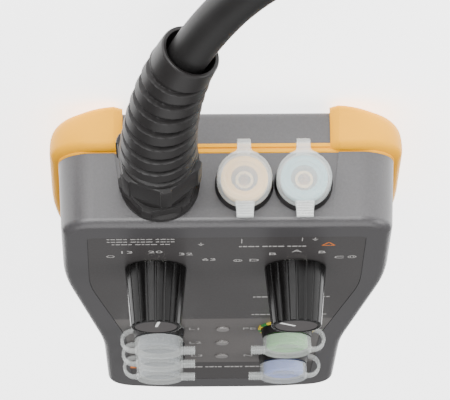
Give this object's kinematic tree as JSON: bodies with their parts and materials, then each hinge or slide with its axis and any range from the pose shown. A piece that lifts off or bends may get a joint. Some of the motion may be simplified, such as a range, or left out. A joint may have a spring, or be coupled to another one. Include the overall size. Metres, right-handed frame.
{
  "type": "charging point test adapter",
  "caption": "Flat hand-held test adapter with rotary knobs, capped safety sockets, corner bumpers and a plug on a short heavy lead through a spiral gland.",
  "frame": {"origin": "centre of the case's back face, on which it lies", "axes": "+Z out of the front panel, +Y along the case towards the gland end, +X to the right as the panel is read"},
  "size_m": [0.2134, 0.4728, 0.062],
  "materials": {
    "case_plastic": "fine textured dark grey",
    "bumper": "smooth amber soft-touch",
    "label_film": "printed matt film",
    "screw_steel": "zinc plated",
    "nut_nickel": "nickel plated",
    "black_plastic": "moulded",
    "lamp_lens": "diffusing",
    "board": "green solder mask",
    "wire_sheath": "extruded",
    "button_plastic": "moulded",
    "contact_brass": "nickel over brass",
    "insert_grey": "moulded",
    "earth_yellow": "moulded",
    "gland_nylon": "satin nylon",
    "gland_seal": "moulded",
    "lead_rubber": "satin rubber sheath",
    "plug_plastic": "satin",
    "pin_silver": "silver plated",
    "insert_green": "moulded",
    "insert_blue": "moulded",
    "insert_yellow": "moulded",
    "insert_teal": "moulded",
    "knob_gloss": "polished",
    "knob_cap": "matt disc",
    "collar_black": "moulded",
    "cap_clear": "milky translucent elastomer"
  },
  "bodies": {
    "case": {"front_shell": "case_plastic", "rear_shell": "case_plastic", "rim_bumper": "bumper", "panel_label": "label_film", "case_screws": "screw_steel", "switch_nuts": "nut_nickel", "tact_switches": "black_plastic", "indicator_lamps": "lamp_lens", "circuit_board": "board", "board_screws": "screw_steel", "board_wires": "wire_sheath", "socket_contacts": "contact_brass", "socket_nuts": "black_plastic", "insert_lines": "insert_grey", "earth_ring": "earth_yellow", "gland_body": "gland_nylon", "gland_seal": "gland_seal", "gland_locknut": "gland_nylon", "gland_nut": "gland_nylon", "lead_in_gland": "lead_rubber", "lead": "lead_rubber", "plug_boot": "lead_rubber", "plug_shell": "plug_plastic", "plug_face": "plug_plastic", "plug_pins": "pin_silver", "current_switch": "black_plastic", "state_switch": "black_plastic", "socket_l1": "collar_black", "strap_l1": "cap_clear", "socket_l2": "collar_black", "strap_l2": "cap_clear", "socket_l3": "collar_black", "strap_l3": "cap_clear", "socket_pe": "collar_black", "strap_pe": "cap_clear", "socket_n": "collar_black", "strap_n": "cap_clear", "socket_signal": "collar_black", "strap_signal": "cap_clear", "socket_signal_earth": "collar_black", "strap_signal_earth": "cap_clear", "insert_pe": "insert_green", "insert_n": "insert_blue", "insert_signal": "insert_yellow", "insert_signal_earth": "insert_teal"},
    "current_knob_body": {"current_knob": "knob_gloss", "current_knob_cap": "knob_cap", "current_shaft": "nut_nickel"},
    "state_knob_body": {"state_knob": "knob_gloss", "state_knob_cap": "knob_cap", "state_shaft": "nut_nickel"},
    "signal_fault_button_body": {"signal_fault_button": "button_plastic"},
    "earth_fault_button_body": {"earth_fault_button": "button_plastic"},
    "cap_l1_body": {"cap_l1": "cap_clear"},
    "cap_l2_body": {"cap_l2": "cap_clear"},
    "cap_l3_body": {"cap_l3": "cap_clear"},
    "cap_pe_body": {"cap_pe": "cap_clear"},
    "cap_n_body": {"cap_n": "cap_clear"},
    "cap_signal_body": {"cap_signal": "cap_clear"},
    "cap_signal_earth_body": {"cap_signal_earth": "cap_clear"}
  },
  "joints": [
    {"name": "current_knob_turn", "type": "hinge", "parent": "case", "child": "current_knob_body", "pos_m": [-0.0235, 0.0626, 0.0414], "axis": [0, 0, 1], "range_deg": [-60, 60]},
    {"name": "state_knob_turn", "type": "hinge", "parent": "case", "child": "state_knob_body", "pos_m": [0.0235, 0.0626, 0.0414], "axis": [0, 0, 1], "range_deg": [-112, 8]},
    {"name": "signal_fault_button_press", "type": "slide", "parent": "case", "child": "signal_fault_button_body", "axis": [0, 0, -1], "range_m": [0, 0.0012], "stiffness_N_per_m": 600},
    {"name": "earth_fault_button_press", "type": "slide", "parent": "case", "child": "earth_fault_button_body", "axis": [0, 0, -1], "range_m": [0, 0.0012], "stiffness_N_per_m": 600},
    {"name": "cap_l1_flip", "type": "hinge", "parent": "case", "child": "cap_l1_body", "pos_m": [-0.0354, -0.018, 0.0464], "axis": [0, -1, 0], "range_deg": [0, 130], "deforming": ["strap_l1"]},
    {"name": "cap_l2_flip", "type": "hinge", "parent": "case", "child": "cap_l2_body", "pos_m": [-0.0354, -0.038, 0.0464], "axis": [0, -1, 0], "range_deg": [0, 130], "deforming": ["strap_l2"]},
    {"name": "cap_l3_flip", "type": "hinge", "parent": "case", "child": "cap_l3_body", "pos_m": [-0.0354, -0.058, 0.0464], "axis": [0, -1, 0], "range_deg": [0, 130], "deforming": ["strap_l3"]},
    {"name": "cap_pe_flip", "type": "hinge", "parent": "case", "child": "cap_pe_body", "pos_m": [0.0354, -0.018, 0.0464], "axis": [0, 1, 0], "range_deg": [0, 130], "deforming": ["strap_pe"]},
    {"name": "cap_n_flip", "type": "hinge", "parent": "case", "child": "cap_n_body", "pos_m": [0.0354, -0.058, 0.0464], "axis": [0, 1, 0], "range_deg": [0, 130], "deforming": ["strap_n"]},
    {"name": "cap_signal_flip", "type": "hinge", "parent": "case", "child": "cap_signal_body", "pos_m": [0.0055, 0.1167, 0.016], "axis": [-1, 0, 0], "range_deg": [0, 108], "deforming": ["strap_signal"]},
    {"name": "cap_signal_earth_flip", "type": "hinge", "parent": "case", "child": "cap_signal_earth_body", "pos_m": [0.0245, 0.1167, 0.016], "axis": [-1, 0, 0], "range_deg": [0, 108], "deforming": ["strap_signal_earth"]}
  ]
}
